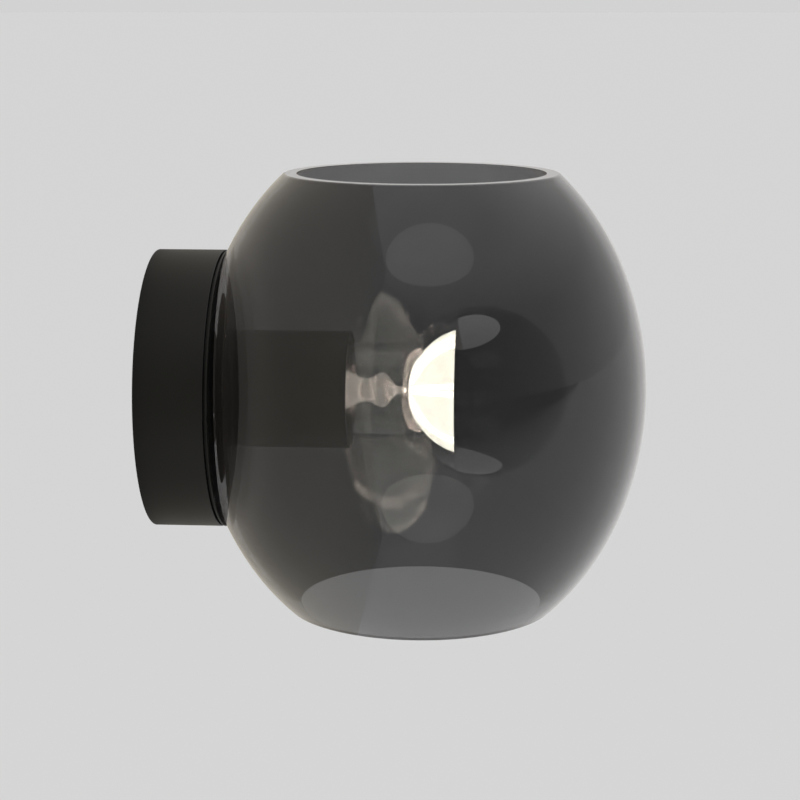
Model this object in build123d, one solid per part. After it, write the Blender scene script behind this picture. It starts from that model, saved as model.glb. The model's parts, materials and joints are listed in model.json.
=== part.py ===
from build123d import *
from math import asin, atan2, cos, degrees, pi, radians, sin, sqrt, tan
import os

# Globe wall sconce. Millimetres, +Z up. The origin is the centre of the canopy's wall face,
# +X points out of the wall along the lampholder's axis, and +Y points along the wall.

# ---- driving dimensions -------------------------------------------------------------
# Canopy
canopy_diameter = 99.0
canopy_depth = 25.5            # wall to the outer face of the face disc
canopy_wall = 1.2
face_disc_thickness = 0.8
shadow_gap_width = 0.7
shadow_gap_depth = 1.5
edge_round = 0.3

# Smoked shade: an elliptical barrel, cut flat above, below and on the canopy side
shade_width = 159.5
shade_height = 155.0
shade_curve_height = 194.5     # full height of the ellipse that the wall follows
shade_wall = 3.0
shade_reach = 68.7             # canopy face to the shade's upright axis
shade_corner_radius = 23.0     # inside corner between the flat and the barrel
rim_arris = 0.4
shade_hole_diameter = 14.0

# Gaskets and centring bush
gasket_thickness = 0.8
rear_gasket_diameter = 66.0
front_gasket_diameter = 40.0
bush_clearance = 0.1

# Lampholder sleeve
sleeve_diameter = 41.8
sleeve_length = 39.0
sleeve_wall = 1.2

# Threaded tube and its nuts
tube_diameter = 10.0
tube_bore = 8.0
tube_clearance = 0.2
tube_tail = 5.8                # tube behind the canopy's inner face
tube_nose = 4.7                # tube ahead of the sleeve's web
nut_across_flats = 14.0
nut_thickness = 2.7
washer_diameter = 18.0
washer_thickness = 1.0

# Wall bracket
bracket_thickness = 1.5
bracket_clearance = 0.4
lip_length = 14.0
lip_angle = 26.0
lock_boss_diameter = 8.0
lock_boss_length = 3.0         # threaded boss inside the canopy wall
slot_spacing = 70.0
slot_length = 12.0
slot_width = 5.0
cable_hole_diameter = 18.0
grommet_bore = 9.0
grommet_flange_diameter = 23.0
grommet_flange_thickness = 2.0

# Lampholder
ceramic_diameter = 38.6
strap_thickness = 1.0
recess_diameter = 22.0
recess_depth = 5.9
ceramic_floor = 1.8
ceramic_length = 29.7
shell_bore = 27.2
shell_wall = 0.4
shell_length = 19.5
shell_thread_depth = 0.7
shell_floor_opening = 23.0
ceramic_bore_clearance = 0.25
terminal_slot_width = 7.4
terminal_block_size = 5.0
terminal_inset = 1.6
terminal_screw_diameter = 2.4
terminal_screw_length = 2.4
small_slot_width = 0.6         # driver slots of the headless screws
strap_screw_length = 4.5       # in the ceramic
mouth_ring_wall = 2.2
mouth_ring_setback = 0.4
contact_thickness = 0.5
contact_width = 5.0
contact_lift = 0.55            # free space under the sprung tongue
contact_gap = 0.05
rivet_diameter = 2.0
rivet_offset = 7.5

# Bulb
bulb_diameter = 61.0
bulb_length = 105.1
bulb_neck_diameter = 33.6
bulb_glass_thickness = 0.8
bulb_shoulder_radius = 12.0
cap_length = 25.0
cap_crest_diameter = 26.4
cap_root_diameter = 24.2
cap_pitch = 3.629
cap_turns = 5
cap_wall = 0.5
cap_skirt_length = 3.4
cap_tip_diameter = 9.6
cap_tip_height = 1.2
mirror_thickness = 0.2
mirror_clearance = 0.15
mirror_start = 8.5             # mirror edge, behind the widest section of the bulb
filament_count = 6
filament_diameter = 1.8
filament_bow_radius = 21.4     # the cage of filaments follows a ball of this radius
filament_ring_radius = 3.4
filament_phase = 15.0
filament_gap = 1.4             # stem's end to the filaments' near ends
support_diameter = 0.7
hub_radius = 1.1
neck_swell = 0.7               # neck's growth inside the cap's skirt
stem_insertion = 3.0           # stem's flare behind the cap's front edge
stem_length = 27.0
stem_neck_radius = 4.4
stem_bead_radius = 6.2
stem_tip_radius = 2.4
glass_tail = 4.0               # glass neck inside the cap
insulator_skirt = 1.5

# Terminal block in the canopy, leads and earth
block_width = 30.0
block_height = 17.0
block_depth = 12.0
block_drop = 27.0              # block centre below the axis
pole_pitch = 9.0
barrel_diameter = 5.0
barrel_bore = 3.4
barrel_end_margin = 1.5
clamp_screw_diameter = 3.0
clamp_screw_length = 4.2
fixing_screw_diameter = 3.0
lead_diameter = 1.6
lead_spread = 1.6              # each lead's distance from the tube's axis
earth_screw_diameter = 4.0
earth_screw_offset = 24.0
earth_screw_rise = 8.0
pan_head_diameter = 7.0
pan_head_height = 2.4
tag_thickness = 0.8
tag_diameter = 9.0
tag_barrel_length = 4.0
tag_barrel_wall = 0.5
lead_insertion = 4.5           # lead inside a barrel
lead_bend = 6.0                # bend radii of the leads
lead_tight_bend = 4.5
lead_wide_bend = 8.0
lead_low_point = (9.0, 6.0, -9.0)      # where a mains lead turns towards the tube
lead_tube_turn = 10.5                  # station where it turns into the tube
earth_lead_point = (19.5, 10.0, -10.0)
lock_screw_diameter = 4.0
lock_screw_station = 8.0       # from the wall
lock_screw_inset = 0.2         # below the canopy's outside
lock_screw_key = 2.0           # hexagon key, across flats
running_clearance = 0.1

# ---- stations along the axis, worked out from the sizes above ------------------------
canopy_radius = canopy_diameter / 2
cup_front = canopy_depth - face_disc_thickness - shadow_gap_width
cup_inner_face = cup_front - canopy_wall
shade_back = canopy_depth + gasket_thickness
shade_inner_face = shade_back + shade_wall
shade_axis = canopy_depth + shade_reach
sleeve_back = shade_inner_face + gasket_thickness
sleeve_web_front = sleeve_back + sleeve_wall
sleeve_mouth = sleeve_back + sleeve_length
sleeve_bore_radius = sleeve_diameter / 2 - sleeve_wall
strap_front = sleeve_web_front + strap_thickness
ceramic_back = strap_front
recess_floor = ceramic_back + recess_depth
ceramic_seat = recess_floor + ceramic_floor
ceramic_front = ceramic_back + ceramic_length
tube_back = cup_inner_face - tube_tail
tube_front = sleeve_web_front + tube_nose
tube_hole = tube_diameter + 2 * tube_clearance
contact_crest = ceramic_seat + contact_lift + contact_thickness
bulb_tip = contact_crest + contact_gap
cap_top = bulb_tip + cap_length
bulb_end = bulb_tip + bulb_length
bulb_radius = bulb_diameter / 2
mirror_radius = bulb_radius - mirror_thickness
globe_radius = mirror_radius - mirror_clearance
neck_seat_radius = cap_root_diameter / 2 - cap_wall - running_clearance
globe_centre = bulb_end - bulb_radius
neck_radius = bulb_neck_diameter / 2
bracket_radius = canopy_radius - canopy_wall - bracket_clearance
lead_exit = (tube_front + recess_floor) / 2
screw_end = cup_front + shadow_gap_width / 2
strap_screw_rise = (recess_diameter / 2 + ceramic_diameter / 2) / 2
strap_screw_end = ceramic_back + strap_screw_length
tongue_pivot_y = -rivet_offset + contact_width * 0.3
terminal_screw_seat = ceramic_back + running_clearance
stem_root = cap_top - stem_insertion
stem_flare_radius = neck_seat_radius - bulb_glass_thickness - running_clearance / 2
stem_end = stem_root + stem_length
filament_root = stem_end + filament_gap
cage_start = degrees(asin(filament_ring_radius / filament_bow_radius))
cage_centre = filament_root + filament_bow_radius * cos(radians(cage_start))
block_back = cup_inner_face - block_depth
pole_x = cup_inner_face - block_depth * 0.45
clamp_screw_rise = block_height * 0.24
block_top = -block_drop + block_height / 2
tag_axis_x = cup_inner_face - tag_thickness - lead_diameter / 2
tag_barrel_top = earth_screw_rise - tag_diameter / 2 - 0.3
terminal_face = ceramic_diameter / 2 - terminal_inset - terminal_block_size
lock_lip_radius = canopy_radius - canopy_wall - lock_boss_length - bracket_clearance
thread_start = cap_top - cap_skirt_length - cap_turns * cap_pitch

os.makedirs("parts", exist_ok=True)


def save(solid, name):
    export_step(solid, f"parts/{name}.step")


def along_x(profile):
    """Turns a closed (x, radius) outline about the lamp's axis."""
    return revolve(profile, Axis.X)


def outline(*points):
    return make_face(Plane.XY * Polyline(*points, close=True))


def rod(start, end, radius, y=0.0, z=0.0):
    """A round bar along X between two stations."""
    return Pos((start + end) / 2, y, z) * Rot(0, 90, 0) * Cylinder(radius, end - start)


def upright(x, bottom, top, radius):
    """A round bar along Z between two heights."""
    return Pos(x, 0, (bottom + top) / 2) * Cylinder(radius, top - bottom)


def ring(start, end, outer_radius, inner_radius, y=0.0, z=0.0):
    return rod(start, end, outer_radius, y, z) - rod(start - 1, end + 1, inner_radius, y, z)


def block(x0, x1, y0, y1, z0, z1):
    return Pos((x0 + x1) / 2, (y0 + y1) / 2, (z0 + z1) / 2) * Box(x1 - x0, y1 - y0, z1 - z0)


def hexagon(start, end, across_flats, bore_radius, y=0.0, z=0.0):
    face = RegularPolygon(across_flats / 2, 6, major_radius=False)
    nut = extrude(Plane.YZ.offset(start) * Pos(y, z) * face, end - start)
    return nut - rod(start - 1, end + 1, bore_radius, y, z)


def pan_screw(seat, head_side, length, y, z):
    """An earth screw along X: pan head, straight slot; head_side is +1 or -1."""
    head_end = seat + head_side * pan_head_height
    shank_end = seat - head_side * length
    shank = earth_screw_diameter / 2 - running_clearance
    body = rod(min(seat, head_end), max(seat, head_end), pan_head_diameter / 2, y, z)
    body += rod(min(seat, shank_end), max(seat, shank_end), shank, y, z)
    ends = sorted((head_end - head_side * pan_head_height / 2, head_end + head_side))
    slot = block(*ends, y - pan_head_diameter, y + pan_head_diameter,
                 z - small_slot_width, z + small_slot_width)
    return body - slot


def lead(points, radii, name):
    """An insulated lead: straight runs joined by tangent arcs."""
    path = FilletPolyline(*points, radius=radii)
    start = Plane(origin=path @ 0, z_dir=path % 0)
    wire = sweep(start * Circle(lead_diameter / 2), path=path)
    expected = pi * (lead_diameter / 2) ** 2 * path.length
    print(f"{name}: length {path.length:.1f}, volume {wire.volume:.1f}, "
          f"section x length {expected:.1f}, radii {radii}")
    return wire


# ---- wall bracket --------------------------------------------------------------------
def wall_bracket():
    body = rod(0, bracket_thickness, bracket_radius)
    half = bracket_radius * tan(radians(lip_angle / 2))
    reach = block(0, lip_length, -half, half, 0, canopy_radius)
    for turn in (0, 90, 180, 270):
        outside = lock_lip_radius if turn == 180 else bracket_radius
        lip = ring(0, lip_length, outside, outside - bracket_thickness)
        body += lip & (Rot(turn, 0, 0) * reach)
    body -= rod(-1, bracket_thickness + 1, cable_hole_diameter / 2)
    slot_face = SlotOverall(slot_length, slot_width)
    for turn in (0, 90):
        for side in (-1, 1):
            cut = extrude(Plane.YZ * Pos(side * slot_spacing / 2, 0) * slot_face,
                          2 * bracket_thickness, both=True)
            body -= Rot(turn, 0, 0) * cut
    body -= rod(-1, bracket_thickness + 1, earth_screw_diameter / 2 - running_clearance,
                earth_screw_offset, earth_screw_offset)
    return body


def cable_grommet():
    neck = rod(0, bracket_thickness, cable_hole_diameter / 2)
    flange = rod(bracket_thickness, bracket_thickness + grommet_flange_thickness,
                 grommet_flange_diameter / 2)
    flange = fillet(flange.edges().filter_by(GeomType.CIRCLE).sort_by(Axis.X)[-1], edge_round * 2)
    return neck + flange - rod(-1, bracket_thickness + 2 * grommet_flange_thickness,
                               grommet_bore / 2)


def bracket_earth_screw():
    seat = bracket_thickness + tag_thickness
    return pan_screw(seat, 1, seat, earth_screw_offset, earth_screw_offset)


def bracket_earth_washer():
    return ring(bracket_thickness, bracket_thickness + tag_thickness, tag_diameter / 2,
                earth_screw_diameter / 2, earth_screw_offset, earth_screw_offset)


# ---- canopy --------------------------------------------------------------------------
def canopy_cup():
    cup = rod(0, cup_front, canopy_radius)
    cup = fillet(cup.edges().filter_by(GeomType.CIRCLE), edge_round)
    cup -= rod(-1, cup_inner_face, canopy_radius - canopy_wall)
    cup += rod(cup_front, cup_front + shadow_gap_width, canopy_radius - shadow_gap_depth)
    cup -= rod(0, canopy_depth, tube_hole / 2)
    boss_top = -canopy_radius + canopy_wall + lock_boss_length
    cup += upright(lock_screw_station, -canopy_radius + canopy_wall / 2, boss_top,
                   lock_boss_diameter / 2)
    cup -= upright(lock_screw_station, -canopy_radius - 1, boss_top + 1,
                   lock_screw_diameter / 2 + running_clearance)
    cup -= rod(cup_inner_face - 1, screw_end, fixing_screw_diameter / 2, 0, -block_drop)
    cup -= rod(cup_inner_face - 1, screw_end, earth_screw_diameter / 2,
               earth_screw_offset, earth_screw_rise)
    return cup


def canopy_face_disc():
    disc = rod(cup_front + shadow_gap_width, canopy_depth, canopy_radius)
    disc = fillet(disc.edges().filter_by(GeomType.CIRCLE), edge_round)
    return disc - rod(0, canopy_depth + 1, tube_hole / 2)


def lock_screw():
    """A grub screw in the canopy's boss that bears on the bracket's lower lip."""
    outside = -canopy_radius + lock_screw_inset
    point = -lock_lip_radius - running_clearance
    body = upright(lock_screw_station, outside, point, lock_screw_diameter / 2)
    hexagon_key = RegularPolygon(lock_screw_key / 2, 6, major_radius=False)
    return body - Pos(lock_screw_station, 0, outside) * extrude(hexagon_key, lock_screw_key)


# ---- tube, nuts and washers ----------------------------------------------------------
def threaded_tube():
    return ring(tube_back, tube_front, tube_diameter / 2, tube_bore / 2)


def rear_nut():
    front = cup_inner_face - washer_thickness
    return hexagon(front - nut_thickness, front, nut_across_flats, tube_diameter / 2)


def rear_washer():
    return ring(cup_inner_face - washer_thickness, cup_inner_face, washer_diameter / 2,
                tube_diameter / 2 + tube_clearance)


def front_nut():
    return hexagon(strap_front, strap_front + nut_thickness, nut_across_flats, tube_diameter / 2)


def rear_gasket():
    return ring(canopy_depth, shade_back, rear_gasket_diameter / 2, shade_hole_diameter / 2)


def front_gasket():
    return ring(shade_inner_face, sleeve_back, front_gasket_diameter / 2, shade_hole_diameter / 2)


def centring_bush():
    return ring(canopy_depth, sleeve_back, shade_hole_diameter / 2 - bush_clearance,
                tube_diameter / 2 + tube_clearance)


# ---- smoked shade --------------------------------------------------------------------
def barrel(radius, curve_half_height, half_height):
    """A solid barrel: a stretch of an ellipse turned about the shade's upright axis."""
    lean = asin(half_height / curve_half_height)
    rim = radius * cos(lean)
    curve = EllipticalCenterArc((0, 0), radius, curve_half_height,
                                start_angle=-degrees(lean), arc_size=2 * degrees(lean))
    closing = Polyline((rim, half_height), (0, half_height), (0, -half_height),
                       (rim, -half_height))
    profile = make_face(Plane.XZ * (curve + closing))
    return Pos(shade_axis, 0, 0) * revolve(profile, Axis.Z)


def smoked_shade():
    half_height = shade_height / 2
    outer = barrel(shade_width / 2, shade_curve_height / 2, half_height)
    outer &= block(shade_back, shade_axis + shade_width, -shade_width, shade_width,
                   -shade_height, shade_height)
    inner = barrel(shade_width / 2 - shade_wall, shade_curve_height / 2 - shade_wall,
                   half_height + 2 * rim_arris)
    inner &= block(shade_inner_face, shade_axis + shade_width, -shade_width, shade_width,
                   -shade_height, shade_height)
    corner = [e for e in inner.edges() if abs(e.center().X - shade_inner_face) < 0.01]
    inner = fillet(corner, shade_corner_radius)
    shade = outer - inner
    for side in (-1, 1):
        rims = [e for e in shade.edges().filter_by(GeomType.CIRCLE)
                if abs(e.center().Z - side * half_height) < 0.01]
        shade = chamfer(rims, rim_arris)
    return shade - rod(0, shade_inner_face + 5, shade_hole_diameter / 2)


# ---- lampholder ----------------------------------------------------------------------
def holder_sleeve():
    tube = rod(sleeve_back, sleeve_mouth, sleeve_diameter / 2)
    tube = fillet(tube.edges().filter_by(GeomType.CIRCLE), edge_round)
    tube -= rod(sleeve_web_front, sleeve_mouth + 1, sleeve_bore_radius)
    return tube - rod(0, sleeve_web_front + 1, tube_hole / 2)


def headless_screw(start, end, radius, y=0.0, z=0.0):
    """A headless screw along X with a driver slot in its near end."""
    floor = start + 1.5 * small_slot_width
    return rod(start, end, radius, y, z) - block(start - 1, floor, y - 2 * radius, y + 2 * radius,
                                                 z - small_slot_width / 2,
                                                 z + small_slot_width / 2)


def holder_strap():
    plate = ring(sleeve_web_front, strap_front, ceramic_diameter / 2 - 0.5, tube_hole / 2)
    for side in (-1, 1):
        plate -= rod(0, strap_front + 1, fixing_screw_diameter / 2 + running_clearance,
                     0, side * strap_screw_rise)
    return plate


def rolled_thread(start, turns, low, high):
    """(x, radius) points of thread rounds between a low and a high radius."""
    steps = 8
    middle, swing = (high + low) / 2, (high - low) / 2
    points = []
    for k in range(turns * steps + 1):
        radius = middle - swing * cos(2 * pi * k / steps)
        points.append((start + cap_pitch * k / steps, radius))
    return points


def holder_ceramic():
    body = rod(ceramic_back, ceramic_front, ceramic_diameter / 2)
    body = fillet(body.edges().filter_by(GeomType.CIRCLE), 2 * edge_round)
    body -= rod(ceramic_back - 1, recess_floor, recess_diameter / 2)
    reach = ceramic_diameter / 2 - terminal_inset
    half = terminal_slot_width / 2
    body -= block(ceramic_back - 1, recess_floor, -reach, reach, -half, half)
    shell_seat = shell_bore / 2 + shell_thread_depth + shell_wall + ceramic_bore_clearance
    body -= rod(ceramic_seat, ceramic_front + 1, shell_seat)
    body -= rod(recess_floor - 1, ceramic_seat + 1, rivet_diameter / 2, -rivet_offset)
    for side in (-1, 1):
        body -= rod(0, strap_screw_end, fixing_screw_diameter / 2, 0, side * strap_screw_rise)
    return body


def strap_screws():
    screws = []
    for side in (-1, 1):
        screws.append(headless_screw(sleeve_web_front + running_clearance, strap_screw_end,
                                     fixing_screw_diameter / 2 - running_clearance / 2,
                                     0, side * strap_screw_rise))
    return Compound(children=screws)


def screw_shell():
    """The socket's rolled shell. Its thread rounds stand outwards from a running bore."""
    bore = shell_bore / 2
    front = ceramic_seat + shell_length
    turns = int((shell_length - 2 * shell_wall) / cap_pitch)
    start = ceramic_seat + (shell_length - turns * cap_pitch) / 2
    wave = rolled_thread(start, turns, bore, bore + shell_thread_depth)
    inner = [(ceramic_seat, bore), *wave, (front, bore)]
    outer = [(x, radius + shell_wall) for x, radius in inner]
    floor = ring(ceramic_seat, ceramic_seat + shell_wall, bore + shell_wall,
                 shell_floor_opening / 2)
    return along_x(outline(*outer, *reversed(inner))) + floor


def contact_foot():
    """The contact's riveted foot."""
    half = contact_width / 2
    foot = block(ceramic_seat, contact_crest, -rivet_offset - half * 0.9,
                 -rivet_offset + half * 0.6, -half, half)
    return foot + rod(recess_floor, ceramic_seat, rivet_diameter / 2 - 0.02, -rivet_offset)


def contact_tongue():
    """The sprung tongue that bears on the bulb's tip, clear of the ceramic under it."""
    half = contact_width / 2
    back = contact_crest - contact_thickness
    strip = block(back, contact_crest, tongue_pivot_y + running_clearance / 2, half, -half, half)
    return fillet(strip.edges().filter_by(Axis.X).sort_by(Axis.Y)[-2:], half * 0.6)


def holder_terminals():
    blocks = []
    half = terminal_slot_width / 2 - running_clearance
    for side in (-1, 1):
        far = side * (terminal_face + terminal_block_size - running_clearance)
        near = side * terminal_face
        body = block(terminal_screw_seat + small_slot_width, recess_floor - running_clearance,
                     min(near, far), max(near, far), -half, half)
        centre = side * (terminal_face + terminal_block_size / 2)
        body -= rod(ceramic_back, terminal_screw_seat + terminal_screw_length,
                    terminal_screw_diameter / 2 + running_clearance / 2, centre)
        blocks.append(body)
    return Compound(children=blocks)


def terminal_screws():
    screws = []
    for side in (-1, 1):
        centre = side * (terminal_face + terminal_block_size / 2)
        screws.append(headless_screw(terminal_screw_seat,
                                     terminal_screw_seat + terminal_screw_length,
                                     terminal_screw_diameter / 2, centre))
    return Compound(children=screws)


def mouth_ring():
    return ring(ceramic_front, sleeve_mouth - mouth_ring_setback,
                sleeve_bore_radius - running_clearance,
                sleeve_bore_radius - mouth_ring_wall)


# ---- bulb ----------------------------------------------------------------------------
def cap_profile(inset):
    """Points of the cap's rolled thread and skirt, offset inwards by the wall."""
    crest = cap_crest_diameter / 2 - inset
    root = cap_root_diameter / 2 - inset
    return [*rolled_thread(thread_start, cap_turns, root, crest), (cap_top, crest)]


def bulb_cap():
    outer = cap_profile(0.0)
    inner = cap_profile(cap_wall)
    return along_x(outline(*outer, *reversed(inner)))


def bulb_insulator():
    base = thread_start
    tip = bulb_tip + cap_tip_height
    wide = cap_root_diameter / 2 - cap_wall
    narrow = cap_tip_diameter / 2 + 0.6
    skirt = base + insulator_skirt
    return along_x(outline((tip, 0), (tip, narrow), (base, wide), (skirt, wide), (skirt, 0)))


def bulb_tip_contact():
    button = rod(bulb_tip, bulb_tip + cap_tip_height, cap_tip_diameter / 2)
    rim = button.edges().filter_by(GeomType.CIRCLE).sort_by(Axis.X)[0]
    return fillet(rim, cap_tip_height * 0.6)


def envelope_solid(inset, start_x):
    """The bulb's glass from its neck in the cap to the crown, inset from the outside."""
    neck = neck_radius - inset
    globe = globe_radius - inset
    shoulder = bulb_shoulder_radius + inset
    rise = shoulder + neck
    run = sqrt((globe + shoulder) ** 2 - rise ** 2)
    shoulder_x = globe_centre - run
    share = globe / (globe + shoulder)
    meet = (globe_centre - run * share, rise * share)
    mid = radians((90 + degrees(atan2(rise, run))) / 2)
    shoulder_mid = (shoulder_x + shoulder * cos(mid), rise - shoulder * sin(mid))
    start = (start_x, neck_seat_radius - inset)
    throat = (cap_top, neck_seat_radius + neck_swell - inset)
    flare_end = (sleeve_mouth + 2.0, neck)
    flare = Spline(start, throat, flare_end, tangents=[(1, 0), (1, 0)])
    wall = Line(flare_end, (shoulder_x, neck))
    shoulder_arc = ThreePointArc((shoulder_x, neck), shoulder_mid, meet)
    meet_angle = pi - atan2(rise, run)
    crown_mid = (globe_centre + globe * cos(meet_angle / 2), globe * sin(meet_angle / 2))
    crown = ThreePointArc(meet, crown_mid, (globe_centre + globe, 0))
    closing = Polyline((globe_centre + globe, 0), (start_x, 0), start)
    return along_x(make_face(Plane.XY * (flare + wall + shoulder_arc + crown + closing)))


def bulb_envelope():
    start_x = cap_top - glass_tail
    return envelope_solid(0.0, start_x) - envelope_solid(bulb_glass_thickness, start_x - 0.01)


def bulb_mirror():
    shell = Pos(globe_centre, 0, 0) * (Sphere(bulb_radius) - Sphere(mirror_radius))
    front = block(globe_centre - mirror_start, bulb_end + 1, -bulb_radius - 1, bulb_radius + 1,
                  -bulb_radius - 1, bulb_radius + 1)
    return shell & front


def bulb_stem():
    """The glass stem: a flare on the neck, a press bead and a slim waist."""
    line = Spline((stem_root, stem_flare_radius),
                  (stem_root + stem_length * 0.2, (stem_flare_radius + stem_tip_radius) / 2),
                  (stem_root + stem_length * 0.48, stem_neck_radius),
                  (stem_root + stem_length * 0.66, stem_bead_radius),
                  (stem_root + stem_length * 0.79, stem_tip_radius * 1.1),
                  (stem_end, stem_tip_radius))
    closing = Polyline((stem_end, stem_tip_radius), (stem_end, 0), (stem_root, 0),
                       (stem_root, stem_flare_radius))
    return along_x(make_face(Plane.XY * (line + closing)))


def around_axis(solid, count, phase=0.0):
    return Compound(children=[Rot(phase + 360 * k / count, 0, 0) * solid for k in range(count)])


def spoke(x, reach, radius):
    """A round bar from the axis straight up to a radius."""
    return upright(x, 0, reach, radius)


def bulb_filaments():
    """Bowed bars that start near the axis and end parallel to it, on a ball's surface."""
    bow = CenterArc((cage_centre, 0), filament_bow_radius, 180 - cage_start,
                    -(90 - cage_start))
    path = Plane.XZ * bow
    section = Plane(origin=path @ 0, z_dir=path % 0) * Circle(filament_diameter / 2)
    return around_axis(sweep(section, path=path), filament_count, filament_phase)


def bulb_supports():
    """A hub on the stem, a mast, and spokes to the filaments' near and far ends."""
    thin = support_diameter / 2
    near_x = filament_root - thin
    near_reach = filament_ring_radius - filament_diameter / 3
    far_x = cage_centre + thin + running_clearance
    wires = rod(stem_end, filament_root, hub_radius)
    wires += rod(filament_root, far_x + thin, thin)
    for k in range(filament_count):
        turn = Rot(filament_phase + 360 * k / filament_count, 0, 0)
        wires += turn * spoke(near_x, near_reach, thin)
        wires += turn * spoke(far_x, filament_bow_radius, thin)
    return wires


# ---- terminal block, leads and earth -------------------------------------------------
def terminal_block():
    body = block(block_back, cup_inner_face, -block_width / 2, block_width / 2,
                 -block_drop - block_height / 2, -block_drop + block_height / 2)
    body = fillet(body.edges().filter_by(Axis.X), 1.0)
    for pole in (-1, 0, 1):
        y = pole * pole_pitch
        body -= Pos(pole_x, y, -block_drop) * Cylinder(barrel_diameter / 2, block_height + 2)
        for side in (-1, 1):
            body -= rod(block_back - 1, pole_x, clamp_screw_diameter / 2 + running_clearance,
                        y, -block_drop + side * clamp_screw_rise)
    for side in (-1, 1):
        cut = pole_pitch / 2
        groove = block(block_back - 1, block_back + block_depth * 0.3, side * cut - 0.6,
                       side * cut + 0.6, -block_drop - block_height, -block_drop + block_height)
        body -= groove
        body -= rod(block_back - 1, cup_inner_face + 1,
                    fixing_screw_diameter / 2 + running_clearance, side * cut, -block_drop)
    return body


def terminal_barrels():
    barrels = []
    length = block_height - 2 * barrel_end_margin
    for pole in (-1, 0, 1):
        tube = Cylinder(barrel_diameter / 2, length) - Cylinder(barrel_bore / 2, length + 2)
        tube = Pos(pole_x, pole * pole_pitch, -block_drop) * tube
        for side in (-1, 1):
            tube -= rod(block_back, pole_x, clamp_screw_diameter / 2 + running_clearance,
                        pole * pole_pitch, -block_drop + side * clamp_screw_rise)
        barrels.append(tube)
    return Compound(children=barrels)


def clamp_screws():
    screws = []
    end = pole_x - barrel_bore / 2 + 0.3
    for pole in (-1, 0, 1):
        for side in (-1, 1):
            y, z = pole * pole_pitch, -block_drop + side * clamp_screw_rise
            screw = headless_screw(end - clamp_screw_length, end, clamp_screw_diameter / 2, y, z)
            screws.append(screw)
    return Compound(children=screws)


def block_screws():
    screws = []
    for side in (-1, 1):
        seat = block_back + block_depth * 0.3
        y = side * pole_pitch / 2
        screws.append(rod(seat - 1.6, seat, 1.0, y, -block_drop)
                      + rod(seat, cup_inner_face, fixing_screw_diameter / 2 - 0.6, y, -block_drop))
    return Compound(children=screws)


def mains_lead(side):
    y = side * pole_pitch
    low_x, low_y, low_z = lead_low_point
    points = [(pole_x, y, block_top - lead_insertion), (pole_x, y, block_top + lead_insertion),
              (low_x, side * low_y, low_z), (lead_tube_turn, side * lead_spread, 0.0),
              (lead_exit, side * lead_spread, 0.0), (lead_exit, side * terminal_face, 0.0)]
    radii = [lead_bend, lead_bend, lead_tight_bend, lead_diameter + running_clearance]
    name = "live lead" if side < 0 else "neutral lead"
    return lead(points, radii, name)


def earth_lead():
    points = [(pole_x, 0.0, block_top - lead_insertion),
              (pole_x, 0.0, block_top + lead_insertion), earth_lead_point,
              (tag_axis_x, earth_screw_offset, lead_low_point[2]),
              (tag_axis_x, earth_screw_offset, tag_barrel_top - tag_barrel_length * 0.5)]
    return lead(points, [lead_bend, lead_wide_bend, lead_tight_bend], "earth lead")


def earth_tag():
    face = cup_inner_face
    eye = ring(face - tag_thickness, face, tag_diameter / 2, earth_screw_diameter / 2 + 0.1,
               earth_screw_offset, earth_screw_rise)
    neck = block(face - tag_thickness, face, earth_screw_offset - 1.4, earth_screw_offset + 1.4,
                 tag_barrel_top, earth_screw_rise - earth_screw_diameter / 2 - 0.4)
    crimp = Cylinder(lead_diameter / 2 + tag_barrel_wall, tag_barrel_length)
    crimp -= Cylinder(lead_diameter / 2, tag_barrel_length + 2)
    crimp = Pos(tag_axis_x, earth_screw_offset, tag_barrel_top - tag_barrel_length / 2) * crimp
    foot = block(tag_axis_x + lead_diameter / 2 + 0.1, face, earth_screw_offset - 1.0,
                 earth_screw_offset + 1.0, tag_barrel_top - tag_barrel_length, tag_barrel_top + 0.5)
    return eye + neck + crimp + foot


def canopy_earth_screw():
    seat = cup_inner_face - tag_thickness
    return pan_screw(seat, -1, screw_end - seat, earth_screw_offset, earth_screw_rise)


pieces = {
    "wall_bracket": wall_bracket,
    "cable_grommet": cable_grommet,
    "bracket_earth_screw": bracket_earth_screw,
    "bracket_earth_washer": bracket_earth_washer,
    "canopy_cup": canopy_cup,
    "canopy_face_disc": canopy_face_disc,
    "lock_screw": lock_screw,
    "threaded_tube": threaded_tube,
    "rear_nut": rear_nut,
    "rear_washer": rear_washer,
    "front_nut": front_nut,
    "rear_gasket": rear_gasket,
    "front_gasket": front_gasket,
    "centring_bush": centring_bush,
    "smoked_shade": smoked_shade,
    "holder_sleeve": holder_sleeve,
    "holder_strap": holder_strap,
    "strap_screws": strap_screws,
    "holder_ceramic": holder_ceramic,
    "screw_shell": screw_shell,
    "contact_foot": contact_foot,
    "contact_tongue": contact_tongue,
    "holder_terminals": holder_terminals,
    "terminal_screws": terminal_screws,
    "mouth_ring": mouth_ring,
    "bulb_cap": bulb_cap,
    "bulb_insulator": bulb_insulator,
    "bulb_tip_contact": bulb_tip_contact,
    "bulb_envelope": bulb_envelope,
    "bulb_mirror": bulb_mirror,
    "bulb_stem": bulb_stem,
    "bulb_supports": bulb_supports,
    "bulb_filaments": bulb_filaments,
    "terminal_block": terminal_block,
    "terminal_barrels": terminal_barrels,
    "clamp_screws": clamp_screws,
    "block_screws": block_screws,
    "live_lead": lambda: mains_lead(-1),
    "neutral_lead": lambda: mains_lead(1),
    "earth_lead": earth_lead,
    "earth_tag": earth_tag,
    "canopy_earth_screw": canopy_earth_screw,
}

for node, make in pieces.items():
    save(make(), node)
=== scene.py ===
import json
import math

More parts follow.
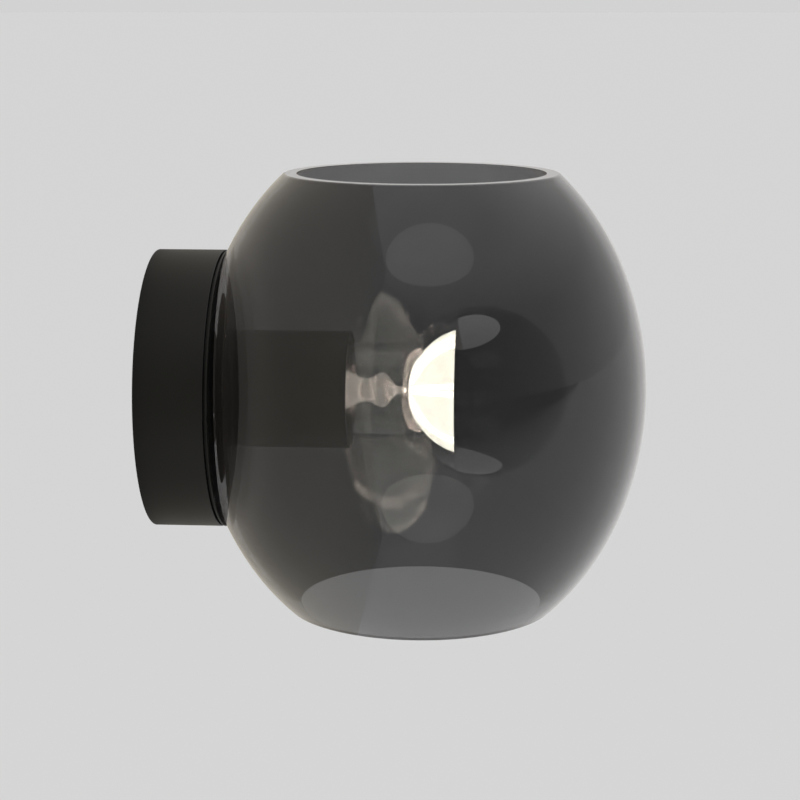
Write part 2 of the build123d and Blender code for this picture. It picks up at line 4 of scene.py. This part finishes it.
import bmesh
import bpy
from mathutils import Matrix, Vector


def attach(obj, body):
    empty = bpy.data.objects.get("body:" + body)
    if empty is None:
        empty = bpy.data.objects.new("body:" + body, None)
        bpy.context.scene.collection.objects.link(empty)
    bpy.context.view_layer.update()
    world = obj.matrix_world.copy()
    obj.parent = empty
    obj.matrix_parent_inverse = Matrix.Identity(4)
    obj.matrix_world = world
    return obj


# The finishes, light and camera of the globe wall sconce. Its solid pieces come from the
# frame. One more piece is made here: the ball of light round the bulb's filaments.

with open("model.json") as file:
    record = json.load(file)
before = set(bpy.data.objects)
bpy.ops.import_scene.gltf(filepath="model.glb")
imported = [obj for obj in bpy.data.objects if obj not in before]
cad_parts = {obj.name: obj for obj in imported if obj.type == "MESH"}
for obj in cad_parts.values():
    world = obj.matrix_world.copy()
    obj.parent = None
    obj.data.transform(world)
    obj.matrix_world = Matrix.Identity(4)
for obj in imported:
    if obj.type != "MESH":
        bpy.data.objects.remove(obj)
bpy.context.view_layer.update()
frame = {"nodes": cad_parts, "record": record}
nodes = frame["nodes"]
MM = 0.001
scene = bpy.context.scene


# ---- node helpers -------------------------------------------------------------------
def add(tree, kind, **values):
    """A new node. Sockets and settings are given by name, with _ for a space."""
    node = tree.nodes.new(kind)
    for key, value in values.items():
        socket = node.inputs.get(key.replace("_", " "))
        if socket is None:
            setattr(node, key, value)
        else:
            socket.default_value = value
    return node


def material(name):
    """An empty node material, its tree and its output."""
    mat = bpy.data.materials.new(name)
    mat.use_nodes = True
    tree = mat.node_tree
    tree.nodes.clear()
    return mat, tree, add(tree, "ShaderNodeOutputMaterial")


def colour_ramp(tree, fac, stops, blend="LINEAR"):
    """The colour that a ramp of (place, colour) stops gives for fac."""
    ramp = add(tree, "ShaderNodeValToRGB")
    ramp.color_ramp.interpolation = blend
    marks = ramp.color_ramp.elements
    for _ in range(len(stops) - len(marks)):
        marks.new(0.5)
    for mark, (place, color) in zip(marks, stops):
        mark.position = place
        mark.color = (*color, 1.0)
    tree.links.new(fac, ramp.inputs["Fac"])
    return ramp.outputs["Color"]


def object_coords(tree):
    """The place of a point in its own piece, in metres."""
    return add(tree, "ShaderNodeTexCoord").outputs["Object"]


def noise_on(tree, coords, scale, detail, roughness=0.5):
    """Clouded noise over the coordinates, from 0 to 1."""
    noise = add(tree, "ShaderNodeTexNoise", Scale=scale, Detail=detail, Roughness=roughness)
    tree.links.new(coords, noise.inputs["Vector"])
    return noise.outputs["Fac"]


def axes_of(tree, vector):
    """The X, Y and Z outputs of a vector."""
    split = add(tree, "ShaderNodeSeparateXYZ")
    tree.links.new(vector, split.inputs["Vector"])
    return split.outputs


def mapped(tree, value, start, end, first=0.0, last=1.0):
    """Value from start to end, carried over to first to last and held beyond."""
    span = add(tree, "ShaderNodeMapRange", From_Min=start, From_Max=end, To_Min=first,
               To_Max=last)
    tree.links.new(value, span.inputs["Value"])
    return span.outputs["Result"]


def mixed(tree, first, second, fac):
    """First where fac is 0 and second where it is 1. Fac is a number or an output."""
    mix = add(tree, "ShaderNodeMixShader")
    if isinstance(fac, float):
        mix.inputs["Fac"].default_value = fac
    else:
        tree.links.new(fac, mix.inputs["Fac"])
    tree.links.new(first, mix.inputs[1])
    tree.links.new(second, mix.inputs[2])
    return mix.outputs["Shader"]


def emission(tree, color):
    """Light of one colour, or of the colour that an output gives, at strength 1."""
    glow = add(tree, "ShaderNodeEmission", Strength=1.0)
    if isinstance(color, tuple):
        glow.inputs["Color"].default_value = (*color, 1.0)
    else:
        tree.links.new(color, glow.inputs["Color"])
    return glow


# ---- opaque finishes ------------------------------------------------------------------
MOTTLE_EDGES = (0.3, 0.7)      # noise at which the darker and the lighter colour are full
LOWEST_ROUGHNESS = 0.02
GRAIN_HEIGHT = 0.08 * MM


def solid_material(name, color, spread, scale, rough, rough_spread, bump, bump_scale, **more):
    """An opaque finish with a fine variation of colour and gloss, and a fine grain."""
    mat, tree, out = material(name)
    link = tree.links.new
    shader = add(tree, "ShaderNodeBsdfPrincipled", Base_Color=(*color, 1.0), Roughness=rough,
                 **more)
    coords = object_coords(tree)
    mottle = noise_on(tree, coords, scale, detail=4.0, roughness=0.55)
    dark = [max(0.0, c * (1.0 - spread)) for c in color]
    light = [min(1.0, c * (1.0 + spread)) for c in color]
    link(colour_ramp(tree, mottle, list(zip(MOTTLE_EDGES, (dark, light)))),
         shader.inputs["Base Color"])
    link(mapped(tree, mottle, 0.0, 1.0, max(LOWEST_ROUGHNESS, rough - rough_spread),
                min(1.0, rough + rough_spread)), shader.inputs["Roughness"])
    lift = add(tree, "ShaderNodeBump", Strength=bump, Distance=GRAIN_HEIGHT)
    link(noise_on(tree, coords, bump_scale, detail=3.0, roughness=0.6), lift.inputs["Height"])
    link(lift.outputs["Normal"], shader.inputs["Normal"])
    link(shader.outputs["BSDF"], out.inputs["Surface"])
    return mat


satin_black = solid_material(
    "satin_black", color=(0.0066, 0.0065, 0.0055), spread=0.12, scale=60.0, rough=0.45,
    rough_spread=0.05, bump=0.12, bump_scale=2400.0, Specular_IOR_Level=0.3)
moulded_black = solid_material(
    "moulded_black", color=(0.012, 0.012, 0.011), spread=0.15, scale=80.0, rough=0.5,
    rough_spread=0.06, bump=0.15, bump_scale=1800.0)
black_rubber = solid_material(
    "black_rubber", color=(0.015, 0.015, 0.015), spread=0.2, scale=90.0, rough=0.72,
    rough_spread=0.08, bump=0.3, bump_scale=2600.0)
zinc_plate = solid_material(
    "zinc_plate", color=(0.55, 0.56, 0.57), spread=0.12, scale=140.0, rough=0.32,
    rough_spread=0.09, bump=0.12, bump_scale=1600.0, Metallic=1.0)
bare_brass = solid_material(
    "bare_brass", color=(0.72, 0.53, 0.22), spread=0.1, scale=120.0, rough=0.28,
    rough_spread=0.08, bump=0.1, bump_scale=1500.0, Metallic=1.0)
cap_nickel = solid_material(
    "cap_nickel", color=(0.66, 0.65, 0.63), spread=0.08, scale=110.0, rough=0.22,
    rough_spread=0.07, bump=0.08, bump_scale=1400.0, Metallic=1.0)
white_nylon = solid_material(
    "white_nylon", color=(0.78, 0.77, 0.73), spread=0.04, scale=70.0, rough=0.45,
    rough_spread=0.06, bump=0.1, bump_scale=900.0)
white_ceramic = solid_material(
    "white_ceramic", color=(0.80, 0.79, 0.75), spread=0.04, scale=50.0, rough=0.2,
    rough_spread=0.06, bump=0.06, bump_scale=700.0, Coat_Weight=0.6)
black_cap_glass = solid_material(
    "black_cap_glass", color=(0.01, 0.01, 0.015), spread=0.1, scale=90.0, rough=0.1,
    rough_spread=0.04, bump=0.05, bump_scale=700.0)
brown_insulation = solid_material(
    "brown_insulation", color=(0.16, 0.06, 0.025), spread=0.08, scale=150.0, rough=0.4,
    rough_spread=0.05, bump=0.1, bump_scale=1500.0)
blue_insulation = solid_material(
    "blue_insulation", color=(0.02, 0.09, 0.33), spread=0.08, scale=150.0, rough=0.4,
    rough_spread=0.05, bump=0.1, bump_scale=1500.0)
crown_silvering = solid_material(
    "mirror_coat", color=(0.38, 0.38, 0.38), spread=0.03, scale=30.0, rough=0.03,
    rough_spread=0.02, bump=0.0, bump_scale=500.0, Metallic=1.0)


def striped_lead_material():
    """Green insulation with yellow stripes."""
    mat, tree, out = material("green_yellow_insulation")
    shader = add(tree, "ShaderNodeBsdfPrincipled", Base_Color=(0.07, 0.3, 0.05, 1.0),
                 Roughness=0.4)
    wave = add(tree, "ShaderNodeTexWave", Scale=90.0, Distortion=0.6)
    tree.links.new(object_coords(tree), wave.inputs["Vector"])
    green, yellow, yellow_from = (0.05, 0.27, 0.05), (0.72, 0.62, 0.04), 0.62
    stripes = colour_ramp(tree, wave.outputs["Fac"], [(0.0, green), (yellow_from, yellow)],
                          "CONSTANT")
    tree.links.new(stripes, shader.inputs["Base Color"])
    tree.links.new(shader.outputs["BSDF"], out.inputs["Surface"])
    return mat


# ---- glass and light ------------------------------------------------------------------
HAZE_TINT = (1.0, 0.90, 0.82, 1.0)
HAZE_ROUGHNESS = 0.35
# Colour of the painted warm light that glass may give off; only the stem's glass gives off any.
PAINTED_GLASS_GLOW = (1.0, 0.88, 0.77, 1.0)


def glass_material(name, color, bend=1.5, coat=0.0, haze=0.0, glow=0.0):
    """Clear or smoked glass; glow is painted warm light. Shadow and diffuse rays pass it
    tinted, unbent.
    """
    mat, tree, out = material(name)
    glass = add(tree, "ShaderNodeBsdfPrincipled", Roughness=0.0, IOR=bend,
                Base_Color=(*color, 1.0), Transmission_Weight=1.0, Coat_Weight=coat,
                Coat_Roughness=0.0, Sheen_Weight=haze, Sheen_Roughness=HAZE_ROUGHNESS,
                Sheen_Tint=HAZE_TINT, Emission_Color=PAINTED_GLASS_GLOW, Emission_Strength=glow)
    each_face = [math.sqrt(c) for c in color]
    clear = add(tree, "ShaderNodeBsdfTransparent", Color=(*each_face, 1.0))
    path = add(tree, "ShaderNodeLightPath")
    shader = glass.outputs["BSDF"]
    for ray in ("Is Shadow Ray", "Is Diffuse Ray"):
        shader = mixed(tree, shader, clear.outputs["BSDF"], path.outputs[ray])
    tree.links.new(shader, out.inputs["Surface"])
    return mat


smoked_glass = glass_material("smoked_glass", (0.176, 0.176, 0.179), bend=1.04, coat=1.0,
                              haze=0.30)
clear_glass = glass_material("clear_glass", (0.98, 0.98, 0.97))
# The stem's glass glows faintly: painted warm light of the filaments in it.
stem_glass = glass_material("stem_glass", (0.98, 0.98, 0.97), glow=0.40)

FILAMENT_COLOR = (1.0, 0.90, 0.74)
FILAMENT_STRENGTH = 40.0
FILAMENT_DIMMER = 0.92         # the darkest spot's share of the colour


def filament_material():
    """The lit filaments, a little uneven along their length."""
    mat, tree, out = material("lit_filament")
    shader = add(tree, "ShaderNodeBsdfPrincipled", Base_Color=(*FILAMENT_COLOR, 1.0),
                 Roughness=0.5, Emission_Color=(*FILAMENT_COLOR, 1.0),
                 Emission_Strength=FILAMENT_STRENGTH)
    dim = [c * FILAMENT_DIMMER for c in FILAMENT_COLOR]
    noise = noise_on(tree, object_coords(tree), scale=300.0, detail=2.0)
    uneven = colour_ramp(tree, noise, [(0.0, dim), (1.0, FILAMENT_COLOR)])
    tree.links.new(uneven, shader.inputs["Emission Color"])
    tree.links.new(shader.outputs["BSDF"], out.inputs["Surface"])
    return mat


slot_looks = {
    "zinc_steel": zinc_plate,
    "black_paint": satin_black,
    "black_moulding": moulded_black,
    "black_rubber": black_rubber,
    "white_nylon": white_nylon,
    "bare_brass": bare_brass,
    "smoked_glass": smoked_glass,
    "glazed_ceramic": white_ceramic,
    "cap_metal": cap_nickel,
    "cap_glass": black_cap_glass,
    "clear_glass": clear_glass,
    "mirror_coat": crown_silvering,
    "support_wire": zinc_plate,
    "glowing_filament": filament_material(),
    "live_brown": brown_insulation,
    "neutral_blue": blue_insulation,
    "earth_green": striped_lead_material(),
}
slot_of = {part["node"]: part["material_slot"] for part in frame["record"]["subparts"]}
for node, obj in nodes.items():
    look = stem_glass if node == "bulb_stem" else slot_looks[slot_of[node]]
    if obj.material_slots:
        for holder in obj.material_slots:
            holder.link = "OBJECT"
            holder.material = look
    else:
        obj.data.materials.append(look)


# ---- the ball of light round the filaments ----------------------------------------------
GLOW_COVER = 0.6               # share of a ray that each surface of the shell turns to light
# Strength, then the colours of the darker and the lighter patches.
DIRECT_GLOW = (7.3, (0.98, 0.93, 0.77), (1.0, 0.97, 0.84))
MIRRORED_GLOW = (32.0, (0.97, 0.74, 0.62), (1.0, 0.79, 0.68))
MIRRORED_BELT = (95.0 * MM, 104.0 * MM)            # along X
BELT_COVER = [(0.0, 0.12), (0.06, GLOW_COVER), (0.9, GLOW_COVER), (1.0, 0.0)]


def ball_of_light_material():
    """The filaments' glare. Reflections see a pinker and brighter belt of it."""
    mat, tree, out = material("filament_light")
    coords = object_coords(tree)
    patches = noise_on(tree, coords, scale=120.0, detail=2.0)
    clear = add(tree, "ShaderNodeBsdfTransparent").outputs["BSDF"]

    def glare(strength, low, high, cover):
        glow = emission(tree, colour_ramp(tree, patches, list(zip(MOTTLE_EDGES, (low, high)))))
        glow.inputs["Strength"].default_value = strength
        return mixed(tree, clear, glow.outputs["Emission"], cover)

    along = mapped(tree, axes_of(tree, coords)["X"], *MIRRORED_BELT)
    belt = colour_ramp(tree, along, [(place, (cover,) * 3) for place, cover in BELT_COVER])
    path = add(tree, "ShaderNodeLightPath")
    shader = mixed(tree, glare(*DIRECT_GLOW, GLOW_COVER), glare(*MIRRORED_GLOW, belt),
                   path.outputs["Is Reflection Ray"])
    tree.links.new(shader, out.inputs["Surface"])
    return mat


GLOW_SIZES = {"Centre": 112.63 * MM, "Radius": 22.6 * MM, "Wall": 0.15 * MM, "Hole": 3.4 * MM,
              "Edge": 107.05 * MM}
BALL_TURNS = 96
BALL_RINGS = 81
SEAM_REACH = 0.01 * MM


def ball_of_light_tree(look):
    """Node tree: a ball on the lamp's axis, cut at the mirror's edge and round the stem."""
    tree = bpy.data.node_groups.new("filament_ball", "GeometryNodeTree")
    link = tree.links.new
    for name, size in GLOW_SIZES.items():
        socket = tree.interface.new_socket(name, in_out="INPUT", socket_type="NodeSocketFloat")
        socket.default_value = size
    tree.interface.new_socket("Geometry", in_out="OUTPUT", socket_type="NodeSocketGeometry")
    sizes = tree.nodes.new("NodeGroupInput").outputs

    ball = add(tree, "GeometryNodeMeshUVSphere", Segments=BALL_TURNS, Rings=BALL_RINGS)
    link(sizes["Radius"], ball.inputs["Radius"])
    centre = add(tree, "ShaderNodeCombineXYZ")
    link(sizes["Centre"], centre.inputs["X"])
    laid = add(tree, "GeometryNodeTransform", Rotation=(0.0, math.radians(90.0), 0.0))
    link(ball.outputs["Mesh"], laid.inputs["Geometry"])
    link(centre.outputs["Vector"], laid.inputs["Translation"])

    spot = axes_of(tree, add(tree, "GeometryNodeInputPosition").outputs["Position"])
    past_edge = add(tree, "FunctionNodeCompare", operation="GREATER_THAN")
    link(spot["X"], past_edge.inputs["A"])
    link(sizes["Edge"], past_edge.inputs["B"])
    across = add(tree, "ShaderNodeCombineXYZ")
    link(spot["Y"], across.inputs["X"])
    link(spot["Z"], across.inputs["Y"])
    off_axis = add(tree, "ShaderNodeVectorMath", operation="LENGTH")
    link(across.outputs["Vector"], off_axis.inputs[0])
    in_hole = add(tree, "FunctionNodeCompare", operation="LESS_THAN")
    link(off_axis.outputs["Value"], in_hole.inputs["A"])
    link(sizes["Hole"], in_hole.inputs["B"])
    either = add(tree, "FunctionNodeBooleanMath", operation="OR")
    link(past_edge.outputs["Result"], either.inputs[0])
    link(in_hole.outputs["Result"], either.inputs[1])
    cut = add(tree, "GeometryNodeDeleteGeometry", domain="POINT")
    link(laid.outputs["Geometry"], cut.inputs["Geometry"])
    link(either.outputs["Boolean"], cut.inputs["Selection"])

    inward = add(tree, "ShaderNodeMath", operation="MULTIPLY")
    inward.inputs[1].default_value = -1.0
    link(sizes["Wall"], inward.inputs[0])
    thick = add(tree, "GeometryNodeExtrudeMesh", Individual=False)
    link(cut.outputs["Geometry"], thick.inputs["Mesh"])
    link(inward.outputs["Value"], thick.inputs["Offset Scale"])
    inner = add(tree, "GeometryNodeFlipFaces")
    link(thick.outputs["Mesh"], inner.inputs["Mesh"])
    both = add(tree, "GeometryNodeJoinGeometry")
    link(cut.outputs["Geometry"], both.inputs["Geometry"])
    link(inner.outputs["Mesh"], both.inputs["Geometry"])
    closed = add(tree, "GeometryNodeMergeByDistance", Distance=SEAM_REACH)
    link(both.outputs["Geometry"], closed.inputs["Geometry"])

    real = add(tree, "GeometryNodeRealizeInstances")
    link(closed.outputs["Geometry"], real.inputs["Geometry"])
    smooth = add(tree, "GeometryNodeSetShadeSmooth")
    link(real.outputs["Geometry"], smooth.inputs["Geometry"])
    finish = add(tree, "GeometryNodeSetMaterial", Material=look)
    link(smooth.outputs["Geometry"], finish.inputs["Geometry"])
    result = tree.nodes.new("NodeGroupOutput")
    link(finish.outputs["Geometry"], result.inputs["Geometry"])
    return tree


def grown(name, tree, sizes):
    """The plain mesh that a node tree makes from its named sizes, faces outward."""
    seed = bpy.data.objects.new(name + "_seed", bpy.data.meshes.new(name + "_seed"))
    scene.collection.objects.link(seed)
    grow = seed.modifiers.new("grow", "NODES")
    grow.node_group = tree
    for socket in tree.interface.items_tree:
        if socket.in_out == "INPUT" and socket.name in sizes:
            grow[socket.identifier] = sizes[socket.name]
    view = bpy.context.evaluated_depsgraph_get()
    mesh = bpy.data.meshes.new_from_object(seed.evaluated_get(view))
    mesh.name = name
    seed.modifiers.remove(grow)
    bpy.data.objects.remove(seed)
    form = bmesh.new()
    form.from_mesh(mesh)
    bmesh.ops.recalc_face_normals(form, faces=form.faces)
    form.to_mesh(mesh)
    form.free()
    obj = bpy.data.objects.new(name, mesh)
    scene.collection.objects.link(obj)
    return obj


filament_glow = grown("filament_glow", ball_of_light_tree(ball_of_light_material()), GLOW_SIZES)
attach(filament_glow, "bulb")


# ---- camera ---------------------------------------------------------------------------
CAMERA_PLACE = (139.2 * MM, -704.8 * MM, 137.3 * MM)
CAMERA_TARGET = (86.64 * MM, 0.0, -3.54 * MM)


def look_at(obj, target):
    """Turns a camera or a light to face the target."""
    direction = Vector(target) - obj.location
    obj.rotation_euler = direction.to_track_quat("-Z", "Y").to_euler()


camera_data = bpy.data.cameras.new("camera")
camera = bpy.data.objects.new("camera", camera_data)
scene.collection.objects.link(camera)
camera_data.sensor_width = 36.0
camera_data.lens = 90.8
camera.location = CAMERA_PLACE
look_at(camera, CAMERA_TARGET)
scene.camera = camera


# ---- floor and wall, in metres ----------------------------------------------------------
FLOOR_HALF = 150.0
FLOOR_LEVEL = -0.9
FLOOR_COLOR = (0.80, 0.80, 0.80, 1.0)
FLOOR_LIFT = (0.03, 0.03, 0.03)
FLOOR_FRONT = (-4.0, 0.27)     # Y, and the brightness in reflections from there forward
FLOOR_UNDER = (-1.2, 0.74)     # the same, from there to the back
WALL_HALF = 0.3
WALL_SETBACK = 0.001
# Distance from the lamp's axis, and the colour there: painted canopy shadow, then painted warm
# light.
WALL_PAINTED_SHADOW_AND_LIGHT = [(0.0, (0.05, 0.05, 0.05)), (0.05, (0.25, 0.24, 0.22)),
             (0.07, (0.48, 0.445, 0.385)), (0.088, (0.46, 0.43, 0.37)),
             (0.15, (0.55, 0.52, 0.44)), (0.35, (0.50, 0.49, 0.46)), (1.0, (0.45, 0.45, 0.44))]


def stage_grid(name, half_size, look):
    """A flat square of the stage, which is no part of the lamp."""
    mesh = bpy.data.meshes.new(name)
    form = bmesh.new()
    bmesh.ops.create_grid(form, x_segments=1, y_segments=1, size=half_size)
    form.to_mesh(mesh)
    form.free()
    obj = bpy.data.objects.new(name, mesh)
    scene.collection.objects.link(obj)
    mesh.materials.append(look)
    return obj


def floor_material():
    """A pale matt floor, lifted a little to the eye. Reflections see a painted pool of light on
    it.
    """
    mat, tree, out = material("pale_floor")
    path = add(tree, "ShaderNodeLightPath").outputs
    matt = add(tree, "ShaderNodeBsdfPrincipled", Base_Color=FLOOR_COLOR, Roughness=0.95,
               Specular_IOR_Level=0.0).outputs["BSDF"]
    lifted = add(tree, "ShaderNodeAddShader")
    tree.links.new(matt, lifted.inputs[0])
    tree.links.new(emission(tree, FLOOR_LIFT).outputs["Emission"], lifted.inputs[1])
    plain = mixed(tree, lifted.outputs["Shader"], matt, path["Is Diffuse Ray"])
    (front, dim), (under, bright) = FLOOR_FRONT, FLOOR_UNDER
    # Painted pool of light for reflections: dim in front, bright from under the lamp back.
    painted_light_pool = mapped(tree, axes_of(tree, object_coords(tree))["Y"], front, under, dim, bright)
    mirrored = emission(tree, painted_light_pool).outputs["Emission"]
    tree.links.new(mixed(tree, plain, mirrored, path["Is Reflection Ray"]),
                   out.inputs["Surface"])
    return mat


def lit_wall_material():
    """A wall for reflections: painted canopy shadow, painted warm bulb light, pale grey beyond.
    """
    mat, tree, out = material("lit_wall")
    length = add(tree, "ShaderNodeVectorMath", operation="LENGTH")
    tree.links.new(object_coords(tree), length.inputs[0])
    # Painted shade and light: dark behind the canopy, warm round it, pale grey farther off.
    glow = emission(tree, colour_ramp(tree, length.outputs["Value"], WALL_PAINTED_SHADOW_AND_LIGHT))
    tree.links.new(glow.outputs["Emission"], out.inputs["Surface"])
    return mat


floor = stage_grid("floor", FLOOR_HALF, floor_material())
floor.location = (0.0, 0.0, FLOOR_LEVEL)

wall = stage_grid("wall", WALL_HALF, lit_wall_material())
wall.rotation_euler = (0.0, math.radians(90.0), 0.0)
wall.location = (-WALL_SETBACK, 0.0, 0.0)
wall.visible_camera = False
wall.visible_transmission = False
wall.visible_shadow = False


# ---- studio light ---------------------------------------------------------------------
ROOM_LEVEL = 0.645
ROOM_FRONT_LEVEL = 0.24
ROOM_DEPTH = (-0.9, 0.3)       # Y of a direction, from the dim front to the room's level
OVERHEAD_LIFT = 0.40
OVERHEAD_EDGE = (0.4, 0.7)     # Z of a direction, over which the lift sets in
SOFTBOX_SPREAD = (0.375, 0.245)    # half-angles across and up, in radians
SOFTBOX_RADIANCE = 0.42
MOST_BOUNCES = 24


def studio_world():
    """A room dim in front and bright overhead. The camera sees only its plain level."""
    world = bpy.data.worlds.new("studio")
    scene.world = world
    world.use_nodes = True
    tree = world.node_tree
    tree.nodes.clear()
    toward = axes_of(tree, add(tree, "ShaderNodeTexCoord").outputs["Generated"])
    level = add(tree, "ShaderNodeMath", operation="ADD")
    tree.links.new(mapped(tree, toward["Y"], *ROOM_DEPTH, ROOM_FRONT_LEVEL, ROOM_LEVEL),
                   level.inputs[0])
    tree.links.new(mapped(tree, toward["Z"], *OVERHEAD_EDGE, 0.0, OVERHEAD_LIFT),
                   level.inputs[1])
    room = add(tree, "ShaderNodeBackground", Strength=1.0)
    tree.links.new(level.outputs["Value"], room.inputs["Color"])
    plain = add(tree, "ShaderNodeBackground", Strength=1.0,
                Color=(ROOM_LEVEL, ROOM_LEVEL, ROOM_LEVEL, 1.0))
    path = add(tree, "ShaderNodeLightPath")
    shader = room.outputs["Background"]
    for ray in ("Is Camera Ray", "Is Transmission Ray"):
        shader = mixed(tree, shader, plain.outputs["Background"], path.outputs[ray])
    out = add(tree, "ShaderNodeOutputWorld")
    tree.links.new(shader, out.inputs["Surface"])


def soft_light(name, start, direction, reach):
    """An elliptical softbox that stands reach metres off from start and faces it."""
    wide, high = (2.0 * reach * math.tan(half_angle) for half_angle in SOFTBOX_SPREAD)
    data = bpy.data.lights.new(name, "AREA")
    data.shape = "ELLIPSE"
    data.size = wide
    data.size_y = high
    data.energy = SOFTBOX_RADIANCE * math.pi * (math.pi / 4.0) * wide * high
    lamp = bpy.data.objects.new(name, data)
    scene.collection.objects.link(lamp)
    lamp.location = Vector(start) + reach * Vector(direction).normalized()
    look_at(lamp, start)
    lamp.visible_camera = False


studio_world()
soft_light("soft_top", start=(0.101, -0.064, 0.057), direction=(0.107, -0.569, 0.815),
           reach=2.0)
soft_light("soft_bottom", start=(0.101, -0.077, -0.024), direction=(0.105, -0.781, -0.616),
           reach=1.0)

scene.view_settings.view_transform = "Standard"
scene.cycles.use_denoising = True
scene.cycles.max_bounces = MOST_BOUNCES
scene.cycles.transmission_bounces = MOST_BOUNCES
scene.cycles.transparent_max_bounces = MOST_BOUNCES
